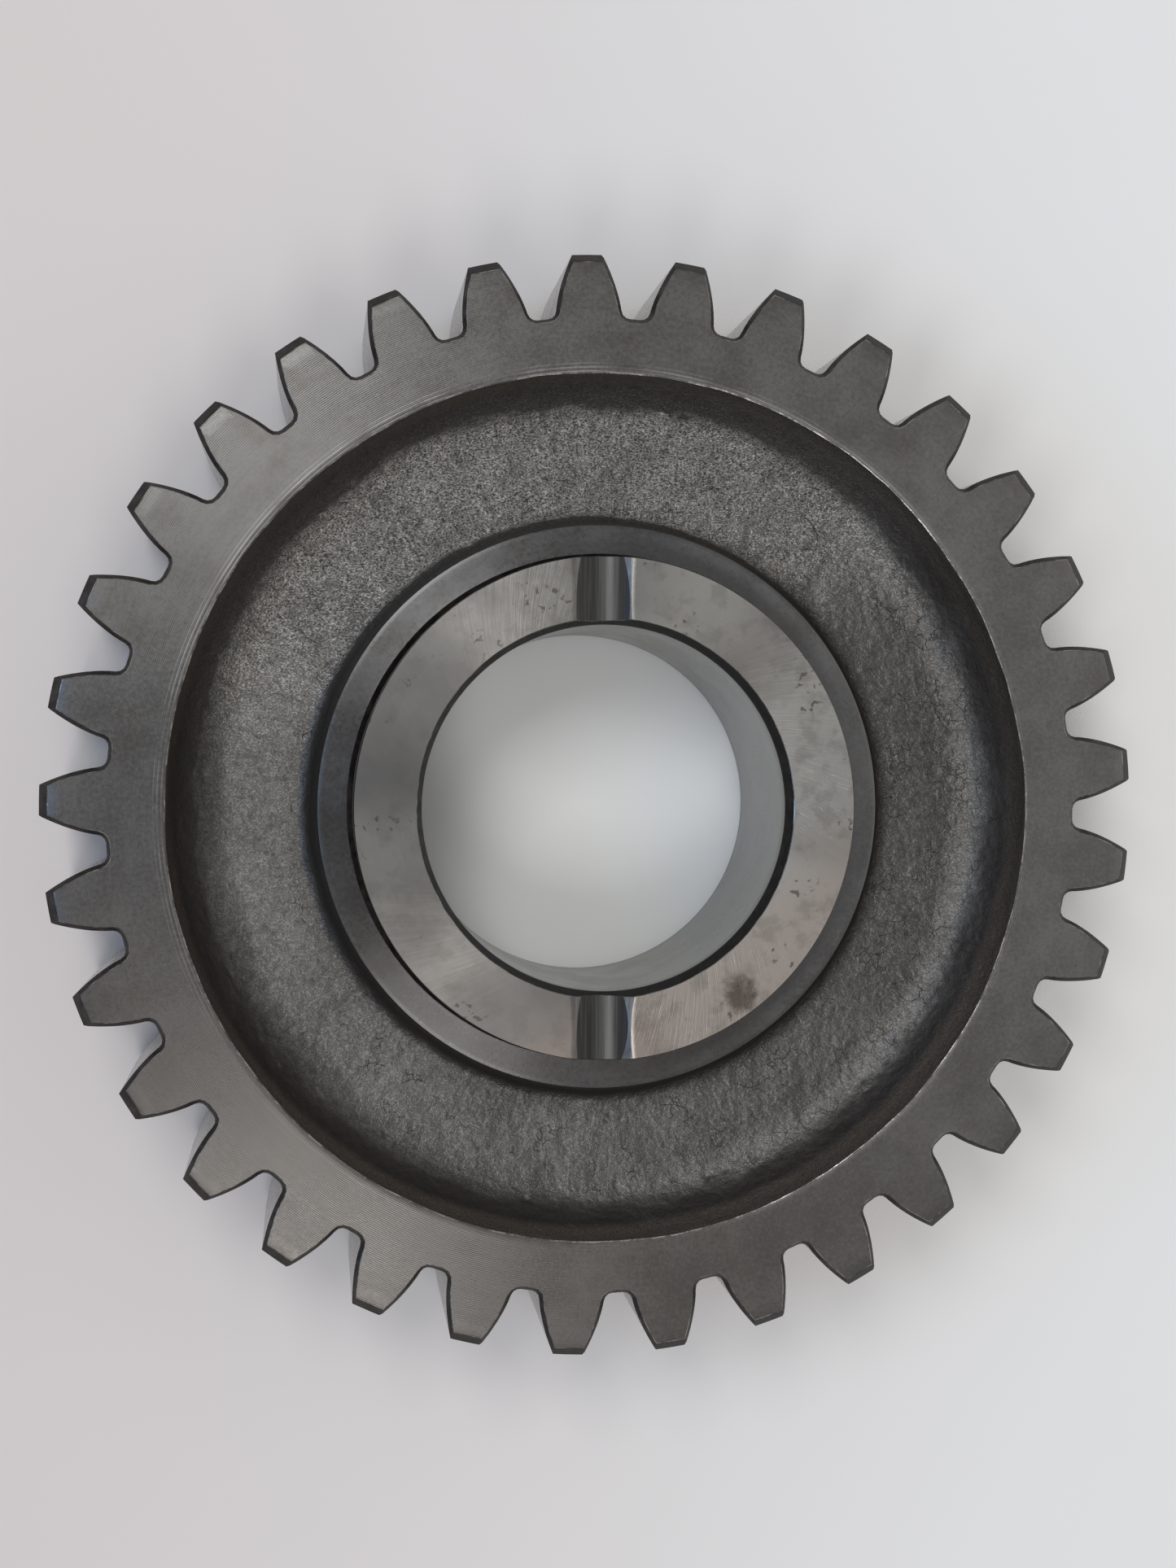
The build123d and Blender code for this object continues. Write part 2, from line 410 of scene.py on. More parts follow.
# For the groove at +Y or -Y, and its +X or -X side: how far the filed bevel reaches into the groove,
# then how far out onto the face, each at the bore, half way and at the outer edge.
BEVELS = {
    (1, 1): ((0.35, 0.3, 1.4), (0.3, 0.15, 0.55)),
    (1, -1): ((0.12, 0.12, 1.1), (0.1, 0.1, 0.3)),
    (-1, 1): ((1.4, 0.45, 1.8), (0.9, 0.2, 0.6)),
    (-1, -1): ((1.2, 0.25, 0.4), (0.5, 0.15, 0.3)),
}


def through(values, share):
    """A smooth curve through three values, at shares 0, a half and 1."""
    first, middle, last = values
    low = first * (1.0 - share) * (1.0 - 2.0 * share)
    return max(LEAST_BEVEL, low + 4.0 * middle * share * (1.0 - share) + last * share * (2.0 * share - 1.0))


def groove_depth(across):
    """How deep the groove is at that distance from its middle."""
    return GROOVE_DEPTH - GROOVE_R + np.sqrt(GROOVE_R**2 - across**2)


def window(side, share):
    """Places across one groove from right to left, and how deep the sleeve's end lies there."""
    inward = {hand: GROOVE_HALF - through(BEVELS[side, hand][0], share) for hand in (1, -1)}
    outward = {hand: GROOVE_HALF + through(BEVELS[side, hand][1], share) for hand in (1, -1)}
    ends = (WINDOW, outward[1], inward[1], -inward[-1], -outward[-1], -WINDOW)
    runs = [np.linspace(a, b, n + 1)[:-1] for a, b, n in zip(ends, ends[1:], WINDOW_STEPS)]
    across = np.concatenate(runs + [[-WINDOW]])
    drop = np.zeros(len(across))
    floor = (across <= inward[1] + NEARLY) & (across >= -inward[-1] - NEARLY)
    drop[floor] = groove_depth(across[floor])
    for hand in (1, -1):
        strip = (hand * across > inward[hand] + NEARLY) & (hand * across < outward[hand])
        share_in = (outward[hand] - hand * across[strip]) / (outward[hand] - inward[hand])
        drop[strip] = share_in * groove_depth(inward[hand])
    return across, drop


def sleeve_row(share, place):
    """One row round the sleeve; place turns each column's depth below the end face into radius and level."""
    top_x, top_drop = window(1, share)
    low_x, low_drop = (values[::-1] for values in window(-1, share))
    top_r, top_z = place(top_drop)
    low_r, low_z = place(low_drop)
    arc_r, arc_z = place(np.zeros(ARC_STEPS - 1))
    top_a = np.arccos((GROOVE_X + top_x) / top_r)
    low_a = 2.0 * math.pi - np.arccos((GROOVE_X + low_x) / low_r)
    left_a = np.linspace(top_a[-1], low_a[0], ARC_STEPS + 1)[1:-1]
    right_a = np.linspace(low_a[-1], top_a[0] + 2.0 * math.pi, ARC_STEPS + 1)[1:-1]
    angle = np.concatenate([top_a, left_a, low_a, right_a])
    radius = np.concatenate([top_r, arc_r, low_r, arc_r])
    level = np.concatenate([top_z, arc_z, low_z, arc_z])
    return np.stack([radius * np.cos(angle), radius * np.sin(angle), level], axis=-1)


def sleeve_rows():
    """Rows up the top chamfer of the bore, out over the grooved end, down outside, and back underneath."""
    rows, bands = [], []
    strip = np.repeat([FACE, BEVEL, GROOVE, BEVEL, FACE], WINDOW_STEPS)
    arc = np.full(ARC_STEPS, FACE)
    end_band = np.concatenate([strip, arc, strip[::-1], arc])
    line_band = np.full(len(end_band), LINE)
    mouth = SLEEVE_TOP - BORE_LEAD_Z

    def add(share, place, band):
        rows.append(sleeve_row(share, place))
        bands.append(np.broadcast_to(band, len(end_band)))

    def at(radius, level):
        return lambda drop: (np.full(len(drop), radius), np.full(len(drop), level))

    def on_lead(fraction, back=0.0):
        """On the bore's chamfer, that share of the way up to the end face or groove floor."""
        def place(drop):
            level = mouth + fraction * (SLEEVE_TOP - drop - back - mouth)
            return BORE_R + BORE_LEAD_R * (level - mouth) / BORE_LEAD_Z, level
        return place

    def on_end(share):
        """On the end face or groove floor, that share of the way from the bore to the outer edge."""
        def place(drop):
            inner, level = on_lead(1.0)(drop)
            inner = inner + FINE_EDGE
            return inner + share * (SLEEVE_R - SLEEVE_EDGE - inner), level
        return place

    def on_wall(radius, fraction):
        """On the outer edge and wall, that share of the way down to just above the hub."""
        def place(drop):
            start = SLEEVE_TOP - drop
            foot = HUB_TOP + STRAIGHT
            return np.full(len(drop), radius), start + fraction * (foot - start)
        return place

    for fraction in np.linspace(0.0, 1.0, LEAD_ROWS)[:-1]:
        add(0.0, on_lead(fraction), LEAD)
    add(0.0, on_lead(1.0, FINE_EDGE), LINE)
    for share in np.linspace(0.0, 1.0, END_ROWS):
        add(share, on_end(share), end_band)
    bands[-1] = line_band
    add(1.0, on_wall(SLEEVE_R - 0.5 * SLEEVE_EDGE, 0.025), LINE)
    for fraction in (0.06, 0.2, 0.4, 0.6, 0.8, 1.0):
        add(1.0, on_wall(SLEEVE_R, fraction), WALL)
    for level in np.linspace(HUB_TOP, SLEEVE_BOTTOM + SLEEVE_EDGE, WALL_ROWS):
        add(1.0, at(SLEEVE_R, level), WALL)
    bands[-1] = line_band
    for share in np.linspace(1.0, 0.0, FAR_ROWS):
        radius = BORE_R + BORE_LEAD_R + share * (SLEEVE_R - SLEEVE_EDGE - BORE_R - BORE_LEAD_R)
        add(share, at(radius, SLEEVE_BOTTOM), FACE)
    bands[-1] = np.full(len(end_band), LEAD)
    for level in np.linspace(SLEEVE_BOTTOM + BORE_LEAD_Z, mouth, INSIDE_ROWS)[:-1]:
        add(0.0, at(BORE_R, level), INSIDE)
    return rows, bands


# ---- procedural materials ---------------------------------------------------
LIP_WIDTH = 3.2           # stretch of coarser feed marks beside the recess
LIP_FEED = 0.9
# The direction below is where the feed marks beside the recess carry their strongest painted highlight.
LIP_SIDE = math.radians(120.0)  # where those marks are clearest
FAN_SLANT = math.radians(27.0)  # between the grinding scratches and the radius
# The track placed below is partly wear and partly painted highlight.
TRACK_X = GROOVE_X + 1.3  # the brighter track along each groove
STAIN_AT = (29.5, -41.5)  # the one large stain on the ring

# Colours are linear red, green and blue.
SCALE_DARK, SCALE_PALE = (0.096, 0.090, 0.083), (0.122, 0.116, 0.108)
# The second colour here is lighter bare scale: partly barer scale and partly painted light on the north side.
SCALE_STAIN, SCALE_BARE_AND_LIT = (0.062, 0.056, 0.051), (0.372, 0.349, 0.317)
# The first colour here is painted shade for the web round the hub's foot.
# The last colour here is for the grain's bright flecks: partly pale grain and partly painted glint.
HUB_FOOT_SHADE, PIT, GLINT = (0.045, 0.040, 0.036), (0.034, 0.031, 0.029), (0.66, 0.62, 0.57)
# The last colour here darkens steep walls: partly dark soot and partly painted shade.
WRINKLE, CRACK, SOOT_AND_SHADE = (0.052, 0.047, 0.043), (0.045, 0.039, 0.034), (0.023, 0.018, 0.015)
RUST, OLD_OIL, SPOT = (0.17, 0.14, 0.115), (0.060, 0.045, 0.036), (0.075, 0.060, 0.050)
RING_DARK, RING_PALE = (0.152, 0.142, 0.131), (0.365, 0.345, 0.320)
# The first colour here is a painted warm highlight on the ring's south-east side.
RING_WARM_HIGHLIGHT, RING_CLOUD = (0.40, 0.32, 0.275), (0.125, 0.115, 0.105)
# Painted shade and painted highlight for stretches round the ring.
RING_SHADE_PAINT, RING_HIGHLIGHT_PAINT = (0.105, 0.100, 0.098), (0.56, 0.54, 0.51)
FLANK_DARK, FLANK_PALE, FLANK_STAIN = (0.33, 0.315, 0.30), (0.50, 0.485, 0.465), (0.13, 0.105, 0.09)
# The second colour here is the groove's track: partly wear and partly painted highlight.
GROOVE_DARK, GROOVE_TRACK_AND_SHEEN = (0.050, 0.048, 0.046), (0.140, 0.136, 0.132)
GROOVE_MARK, GROOVE_SHADE = (0.20, 0.195, 0.19), (0.036, 0.031, 0.027)
BORE_DARK, BORE_PALE = (0.155, 0.150, 0.138), (0.225, 0.220, 0.205)
# The floor's colours on these two lines are painted light: darker to the west, lighter to the east, and
# lighter still inside the bore.
FLOOR_WEST_SHADED, FLOOR_EAST_LIT, FLOOR_CLOUD = (0.65, 0.584, 0.552), (0.86, 0.84, 0.82), (0.9, 0.9, 0.9)
FLOOR_BORE_EAST_LIT, FLOOR_BORE_WEST_LIT = (0.92, 0.915, 0.90), (1.0, 0.985, 0.94)

# Fans of scratches on the ring, lightened as a painted highlight: direction and half width in degrees, and
# how strong each is.
FANS = ((107.0, 12.0, 0.8), (14.0, 24.0, 1.3), (222.0, 8.0, 0.3), (300.0, 20.0, 1.3))
# Stretches of the ring darkened by painted shade and lightened by painted highlight: direction, half width,
# how much, and towards which colour.
TONES = (
    (157.0, 20.0, 0.50, RING_SHADE_PAINT),
    (252.0, 15.0, 0.50, RING_SHADE_PAINT),
    (92.0, 9.0, 0.25, RING_SHADE_PAINT),
    (13.0, 20.0, 0.40, RING_HIGHLIGHT_PAINT),
    (316.0, 30.0, 0.62, RING_HIGHLIGHT_PAINT),
    (68.0, 9.0, 0.35, RING_HIGHLIGHT_PAINT),
)


def tinted(colour, *shares):
    """A colour with its channels multiplied by one share, or each by its own."""
    shares = shares * 3 if len(shares) == 1 else shares
    return tuple(share * channel for share, channel in zip(shares, colour))


class Finish:
    """A Principled material with short calls for the nodes that drive it. Lengths are in millimetres."""

    def __init__(self, name, metallic, **constants):
        self.material = bpy.data.materials.new(name)
        self.material.use_nodes = True
        self.tree = self.material.node_tree
        self.shader = next(n for n in self.tree.nodes if n.type == "BSDF_PRINCIPLED")
        self.shader.inputs["Metallic"].default_value = metallic
        for socket, value in constants.items():
            self.shader.inputs[socket.replace("_", " ").title()].default_value = value
        coordinates = self.node("ShaderNodeTexCoord").outputs
        self.object_normal = coordinates["Normal"]
        scaled = {0: coordinates["Object"], "Scale": 1.0 / MM}
        self.place = self.node("ShaderNodeVectorMath", scaled, operation="SCALE").outputs[0]
        self.x, self.y, self.z = self.node("ShaderNodeSeparateXYZ", {0: self.place}).outputs
        squares = [self.math("POWER", part, 2.0) for part in (self.x, self.y)]
        self.radius = self.math("SQRT", self.math("ADD", *squares))

    def node(self, kind, inputs=None, **settings):
        made = self.tree.nodes.new(kind)
        for setting, value in settings.items():
            setattr(made, setting, value)
        for socket, value in (inputs or {}).items():
            if isinstance(value, bpy.types.NodeSocket):
                self.tree.links.new(value, made.inputs[socket])
            else:
                made.inputs[socket].default_value = value
        return made

    def math(self, operation, a, b=0.0):
        return self.node("ShaderNodeMath", {0: a, 1: b}, operation=operation).outputs[0]

    def times(self, a, b):
        return self.math("MULTIPLY", a, b)

    def vector(self, x, y, z):
        return self.node("ShaderNodeCombineXYZ", {0: x, 1: y, 2: z}).outputs[0]

    def noise(self, size, detail=2.0, roughness=0.5, vector=None, distortion=0.0):
        """Noise from 0 to 1 whose features are about size millimetres across."""
        inputs = {"Vector": self.place if vector is None else vector, "Scale": 1.0 / size}
        inputs.update({"Detail": detail, "Roughness": roughness, "Distortion": distortion})
        return self.node("ShaderNodeTexNoise", inputs).outputs["Fac"]

    def cracks(self, size, width, bend):
        """1 along the borders of cells of that size, fading to 0 at width of it away."""
        shove = self.node("ShaderNodeTexNoise", {"Vector": self.place, "Scale": 1.3 / size, "Detail": 2.0})
        scaled = {0: shove.outputs["Color"], "Scale": bend}
        offset = self.node("ShaderNodeVectorMath", scaled, operation="SCALE")
        bent = self.node("ShaderNodeVectorMath", {0: self.place, 1: offset.outputs[0]}, operation="ADD")
        inputs = {"Vector": bent.outputs[0], "Scale": 1.0 / size}
        cells = self.node("ShaderNodeTexVoronoi", inputs, feature="DISTANCE_TO_EDGE")
        return self.ramp(cells.outputs["Distance"], 0.0, width, 1.0, 0.0)

    def ramp(self, value, start, end, low=0.0, high=1.0):
        """low before start and high after end, with a smooth turn between."""
        inputs = {"Value": value, "From Min": start, "From Max": end, "To Min": low, "To Max": high}
        return self.node("ShaderNodeMapRange", inputs, interpolation_type="SMOOTHSTEP").outputs["Result"]

    def mix(self, share, low, high):
        """Between two colours, or a colour and a colour socket."""
        made = self.node("ShaderNodeMix", {"Factor": share}, data_type="RGBA")
        for socket, value in (("A", low), ("B", high)):
            target = next(s for s in made.inputs if s.name == socket and s.type == "RGBA")
            if isinstance(value, bpy.types.NodeSocket):
                self.tree.links.new(value, target)
            else:
                target.default_value = (*value, 1.0)
        return next(s for s in made.outputs if s.type == "RGBA")

    def around(self, radial, turning):
        """Coordinates that run along the radius and round the axis, without a seam."""
        cosine = self.math("DIVIDE", self.x, self.radius)
        sine = self.math("DIVIDE", self.y, self.radius)
        along = self.times(self.radius, radial)
        return self.vector(along, self.times(cosine, turning), self.times(sine, turning))

    def strokes(self, degrees, width, length):
        """Straight scratches at that angle, from 0 to 1, mostly near one half."""
        turn = math.radians(degrees)
        along = self.toward(math.cos(turn), math.sin(turn))
        across = self.toward(-math.sin(turn), math.cos(turn))
        parts = ((across, width), (along, length), (self.z, length))
        vector = self.vector(*(self.math("DIVIDE", part, size) for part, size in parts))
        return self.noise(1.0, 2.0, 0.6, vector)

    def total(self, *shares):
        """Sum of sockets, each times its own weight."""
        parts = [self.times(value, weight) for value, weight in shares]
        total = parts[0]
        for part in parts[1:]:
            total = self.math("ADD", total, part)
        return total

    def toward(self, east, north):
        """Millimetres from the gear axis along one direction across it."""
        return self.total((self.x, east), (self.y, north))

    def facing(self, degrees, half_width, outside, inside, strength):
        """strength round that direction from the axis, fading to 0 near half_width degrees away."""
        turn = math.radians(degrees)
        cosine = self.math("DIVIDE", self.toward(math.cos(turn), math.sin(turn)), self.radius)
        edge = math.cos(math.radians(half_width))
        return self.ramp(cosine, edge - outside, edge + inside, 0.0, strength)

    def finish(self, colour, roughness, height, relief):
        """Joins the colour, the roughness and a relief that many millimetres high to the shader."""
        bump = self.node("ShaderNodeBump", {"Height": height, "Distance": relief * MM, "Strength": 1.0})
        self.tree.links.new(colour, self.shader.inputs["Base Color"])
        self.tree.links.new(roughness, self.shader.inputs["Roughness"])
        self.tree.links.new(bump.outputs[0], self.shader.inputs["Normal"])
        return self.material

    def lay_round(self):
        """Lets highlights stretch across marks that run round the gear axis."""
        tangent = self.node("ShaderNodeTangent", direction_type="RADIAL", axis="Z")
        self.tree.links.new(tangent.outputs[0], self.shader.inputs["Tangent"])


def forged_skin():
    """Hammer scale: grain with bright flecks that are partly painted glint, calmer to the south with painted
    light to the north, painted shade round the hub's foot, radial wrinkles, broken cracks, and walls darkened
    partly by soot and partly by painted shade.
    """
    skin = Finish("forged_skin", 0.9)
    long_way = skin.vector(skin.times(skin.x, 0.65), skin.y, skin.z)
    grain = skin.total((skin.noise(0.30, 2.0, 0.6, long_way), 0.75), (skin.noise(0.8, 2.0, 0.5), 0.25))
    fine = skin.noise(0.25, 2.0, 0.5)
    mottle = skin.noise(18.0, 4.0, 0.6)
    patches = skin.noise(7.0, 3.0, 0.6)
    swell = skin.noise(3.2, 2.0)
    wrinkle = skin.noise(1.0, 3.0, 0.6, skin.around(0.22, 46.0), 0.6)
    crack_here = skin.ramp(skin.math("ADD", skin.noise(6.0, 2.0), skin.times(skin.x, 0.0008)), 0.52, 0.70)
    crack = skin.times(skin.cracks(3.4, 0.03, 3.4), crack_here)
    leather = skin.times(skin.cracks(3.0, 0.40, 3.2), skin.ramp(skin.x, -60.0, 60.0, 0.3, 1.0))
    calm = skin.ramp(skin.toward(0.22, -0.97), -76.0, -16.0)
    lean = skin.node("ShaderNodeSeparateXYZ", {0: skin.object_normal}).outputs[2]
    steep = skin.ramp(skin.math("ABSOLUTE", lean), 0.74, 0.93, 1.0, 0.0)

    # Painted shade: the web round the hub's foot is darkened on the calm south side, where the hub shades it.
    hub_foot_shade = skin.times(skin.ramp(skin.radius, 66.5, 72.5, 0.55, 0.0), calm)
    pits = skin.times(skin.ramp(grain, 0.39, 0.48, 1.0, 0.0), skin.ramp(calm, 0.0, 1.0, 0.82, 0.28))
    # Bright flecks: partly pale grain and partly painted glint, strongest to the north.
    flecks = skin.times(skin.ramp(grain, 0.52, 0.60), skin.ramp(calm, 0.0, 1.0, 0.78, 0.10))
    burnt = skin.times(skin.ramp(skin.radius, RIM_IN_R - 2.4, RIM_IN_R - 0.6), skin.ramp(fine, 0.3, 0.6))
    burnt = skin.times(burnt, skin.ramp(skin.y, -70.0, 10.0, 0.7, 0.3))
    colour = skin.mix(skin.ramp(mottle, 0.3, 0.7), SCALE_DARK, SCALE_PALE)
    for share, tone in (
        (skin.ramp(patches, 0.50, 0.68, 0.0, 0.10), SCALE_STAIN),
        # Lighter bare scale to the north: partly barer scale and partly painted light from the north-west.
        (skin.ramp(calm, 0.0, 1.0, 0.66, 0.0), SCALE_BARE_AND_LIT),
        (hub_foot_shade, HUB_FOOT_SHADE),
        (pits, PIT),
        (flecks, GLINT),
        (skin.ramp(wrinkle, 0.36, 0.5, 0.35, 0.0), WRINKLE),
        (skin.times(crack, 0.42), CRACK),
        # Steep walls: partly dark soot and partly painted shade.
        (skin.times(steep, 0.9), SOOT_AND_SHADE),
        (burnt, RUST),
    ):
        colour = skin.mix(share, colour, tone)
    skin.tree.links.new(skin.ramp(steep, 0.0, 1.0, 0.9, 0.4), skin.shader.inputs["Metallic"])

    rough = skin.ramp(skin.total((grain, 0.6), (wrinkle, 0.4)), 0.3, 0.7, 0.42, 0.32)
    rough = skin.math("ADD", rough, skin.times(steep, 0.16))
    coarse = skin.times(skin.ramp(patches, 0.35, 0.6, 1.06, 0.86), skin.ramp(calm, 0.0, 1.0, 2.35, 0.45))
    grit = skin.times(grain, skin.times(coarse, skin.ramp(steep, 0.3, 1.0, 1.0, 0.7)))
    raised = ((grit, 0.6), (fine, 0.12), (wrinkle, 0.25), (swell, 0.6))
    height = skin.total(*raised, (crack, -0.16), (leather, -0.15))
    return skin.finish(colour, rough, height, 0.52)


def turned(name, dark, light, *, rough, lie, feed, contrast, lip=False, east_sheen=0.0):
    """A turned face: feed marks, stains, dings, a painted sheen that lightens the east side, and rings beside
    a lip that are partly coarser feed marks and partly painted highlight.
    """
    face = Finish(name, 1.0, anisotropic=lie, anisotropic_rotation=0.25)
    waver = face.noise(9.0, 2.0)
    turns = face.times(face.radius, 2.0 * math.pi / feed)
    wave = face.math("SINE", face.math("ADD", turns, face.times(waver, 4.0)))
    rings = face.noise(1.0, 3.0, 0.6, face.around(1.6, 2.5))
    stain = face.noise(16.0, 5.0, 0.62)
    grit = face.noise(0.9, 3.0, 0.6)
    speck = face.noise(1.8, 3.0, 0.6)
    browned = face.noise(11.0, 5.0, 0.66)
    # Painted sheen: lightens the face towards the east.
    painted_east_sheen = face.ramp(face.toward(0.97, 0.2), -30.0, 110.0, 0.0, east_sheen)
    oily = face.ramp(face.toward(-0.35, -0.94), -40.0, 90.0, 0.0, 0.5)

    marks = face.total((wave, 0.06 * contrast), (rings, 0.25 * contrast), (stain, 0.7), (grit, 0.5))
    middle = 0.125 * contrast + 0.6
    colour = face.mix(face.ramp(marks, middle - 0.22, middle + 0.22), dark, light)
    for share, tone in (
        (face.ramp(speck, 0.68, 0.78, 0.0, 0.5), tinted(dark, 0.4)),
        (face.ramp(browned, 0.50, 0.68, 0.0, 0.34), tinted(dark, 0.78, 0.66, 0.57)),
        (face.ramp(browned, 0.46, 0.32, 0.0, 0.30), tinted(light, 1.0, 1.02, 1.10)),
        (painted_east_sheen, tinted(light, 2.0)),
        (oily, tinted(light, 0.84, 0.79, 0.76)),
    ):
        colour = face.mix(share, colour, tone)
    if lip:
        near = face.ramp(face.radius, RIM_IN_R, RIM_IN_R + LIP_WIDTH, 1.0, 0.0)
        broad = face.math("SINE", face.times(face.radius, 2.0 * math.pi / LIP_FEED))
        here = face.times(near, face.ramp(broad, -0.2, 0.9))
        here = face.times(here, face.ramp(face.noise(14.0, 2.0), 0.35, 0.65, 0.1, 0.7))
        side = face.toward(math.cos(LIP_SIDE), math.sin(LIP_SIDE))
        here = face.times(here, face.ramp(side, -20.0, 90.0, 0.15, 1.0))
        # Partly coarser feed marks and partly painted highlight: the rings beside the lip are lightened, most
        # to the north-west.
        colour = face.mix(here, colour, tinted(light, 2.6))
    roughness = face.ramp(face.total((grit, 0.5), (stain, 0.5)), 0.35, 0.65, rough - 0.05, rough + 0.06)
    height = face.total((wave, 0.22), (rings, 0.12), (grit, 0.35))
    face.lay_round()
    return face.finish(colour, roughness, height, 0.03)


def oxide_black(name, metallic, gloss, dark, light):
    """Black oxide, left where the last cut didn't reach."""
    black = Finish(name, metallic)
    black.shader.inputs["Specular IOR Level"].default_value = gloss
    blotch = black.noise(3.0, 4.0, 0.6)
    colour = black.mix(black.ramp(blotch, 0.35, 0.75), dark, light)
    rough = black.ramp(blotch, 0.3, 0.7, 0.40, 0.56)
    height = black.total((black.noise(0.6, 3.0), 0.5), (blotch, 0.5))
    return black.finish(colour, rough, height, 0.04)


def worn_line(name, bright):
    """The thin line of bare metal along an edge, dull in places."""
    line = Finish(name, 1.0)
    worn = line.noise(5.0, 4.0, 0.7)
    colour = line.mix(line.ramp(worn, 0.42, 0.68), tinted(bright, 0.22), bright)
    rough = line.ramp(worn, 0.3, 0.7, 0.38, 0.22)
    return line.finish(colour, rough, line.noise(0.5, 2.0), 0.02)


def tooth_flank():
    """A tooth's ground side: bright marks along the tooth and brown stains."""
    flank = Finish("tooth_flank", 1.0)
    lie = flank.vector(flank.times(flank.radius, 2.2), flank.times(flank.z, 0.16), 0.0)
    drawn = flank.noise(1.0, 3.0, 0.6, lie)
    stain = flank.noise(7.0, 4.0, 0.6)
    colour = flank.mix(flank.ramp(drawn, 0.3, 0.7), FLANK_DARK, FLANK_PALE)
    colour = flank.mix(flank.ramp(stain, 0.58, 0.74, 0.0, 0.6), colour, FLANK_STAIN)
    rough = flank.ramp(drawn, 0.3, 0.7, 0.24, 0.34)
    return flank.finish(colour, rough, flank.total((drawn, 0.7), (stain, 0.3)), 0.02)


def ground_face():
    """The sleeve's ground end: fans of slanting scratches lightened by painted highlight, stretches of
    painted shade and painted highlight round it, a painted warm highlight to the south-east, brown stains and
    clusters of small dark spots.
    """
    face = Finish("ground_face", 1.0, anisotropic=0.6, anisotropic_rotation=0.25)
    soft = face.noise(16.0, 3.0, 0.5)
    swirl = face.times(face.math("LOGARITHM", face.radius, math.e), math.tan(FAN_SLANT))
    lie = face.math("ADD", face.math("ARCTAN2", face.y, face.x), swirl)
    cosine, sine = face.math("COSINE", lie), face.math("SINE", lie)
    strokes = []
    for width, run in ((0.20, 7.0), (0.55, 12.0)):
        turning = BORE_R / width
        along = face.math("DIVIDE", face.radius, run)
        vector = face.vector(face.times(cosine, turning), face.times(sine, turning), along)
        strokes.append(face.noise(1.0, 2.0, 0.6, vector))
    fans = [face.facing(turn, half_width, 0.10, 0.05, strength) for turn, half_width, strength in FANS]
    scratches_and_highlight = fans[0]
    for fan in fans[1:]:
        scratches_and_highlight = face.math("MAXIMUM", scratches_and_highlight, fan)
    scratches_and_highlight = face.times(scratches_and_highlight, face.ramp(face.noise(7.0, 2.0), 0.3, 0.55, 0.35, 1.0))
    cut = face.math("SUBTRACT", face.total((strokes[0], 1.0), (strokes[1], 0.8)), 0.9)
    cut = face.times(cut, face.math("ADD", scratches_and_highlight, 0.06))
    rings = face.noise(1.0, 3.0, 0.6, face.around(2.2, 1.2))
    # The fans lighten the colour: partly scratches and partly painted highlight.
    marks = face.total((cut, 0.8), (scratches_and_highlight, 0.24), (rings, 0.08), (soft, 0.6))

    # Painted warm highlight on the ring's south-east side.
    warm_highlight = face.ramp(face.toward(0.55, -0.83), 24.0, 46.0)
    cloud = face.noise(5.0, 4.0, 0.6)
    stain = face.noise(9.0, 5.0, 0.65)
    east, north = (face.math("SUBTRACT", part, place) for part, place in zip((face.x, face.y), STAIN_AT))
    apart = {0: face.vector(east, north, 0.0)}
    away = face.node("ShaderNodeVectorMath", apart, operation="LENGTH").outputs["Value"]
    away = face.math("ADD", away, face.times(face.noise(3.0, 4.0, 0.6), -9.0))
    cluster = face.ramp(face.noise(13.0, 1.0), 0.58, 0.66)
    spot = face.times(face.ramp(face.noise(1.5, 2.0, 0.5), 0.60, 0.67), cluster)
    colour = face.mix(face.ramp(marks, 0.05, 0.75), RING_DARK, RING_PALE)
    # Painted shade and painted highlight in stretches round the ring.
    for turn, half_width, share, tone in TONES:
        colour = face.mix(face.facing(turn, half_width, 0.06, 0.04, share), colour, tone)
    for share, tone in (
        (face.times(warm_highlight, 0.6), RING_WARM_HIGHLIGHT),
        (face.ramp(cloud, 0.48, 0.66, 0.0, 0.28), RING_CLOUD),
        (face.ramp(stain, 0.60, 0.76, 0.0, 0.45), RUST),
        (face.ramp(away, -3.2, 1.5, 0.75, 0.0), OLD_OIL),
        (face.times(spot, 0.7), SPOT),
    ):
        colour = face.mix(share, colour, tone)
    rough = face.ramp(marks, 0.0, 0.9, 0.42, 0.29)
    face.lay_round()
    return face.finish(colour, rough, face.total((cut, 0.9), (rings, 0.15)), 0.03)


def groove_floor():
    """The ground oil groove: dark sides, a brighter track along it that is partly wear and partly painted
    highlight, painted shade on its east side, and fine parallel marks.
    """
    groove = Finish("groove_floor", 1.0)
    drawn = groove.strokes(90.0, 0.35, 22.0)
    across = groove.math("SUBTRACT", groove.x, TRACK_X)
    track = groove.ramp(groove.math("ABSOLUTE", across), 0.1, 1.7, 0.75, 0.0)
    broad = groove.ramp(groove.math("ABSOLUTE", groove.math("ADD", across, 1.2)), 0.3, 3.4, 0.4, 0.0)
    # The brighter track: partly a worn track and partly painted highlight.
    colour = groove.mix(groove.math("MAXIMUM", track, broad), GROOVE_DARK, GROOVE_TRACK_AND_SHEEN)
    colour = groove.mix(groove.ramp(drawn, 0.35, 0.7, 0.0, 0.25), colour, GROOVE_MARK)
    colour = groove.mix(groove.ramp(across, 0.8, 3.0, 0.0, 0.8), colour, GROOVE_SHADE)
    rough = groove.ramp(drawn, 0.3, 0.7, 0.34, 0.44)
    return groove.finish(colour, rough, drawn, 0.012)


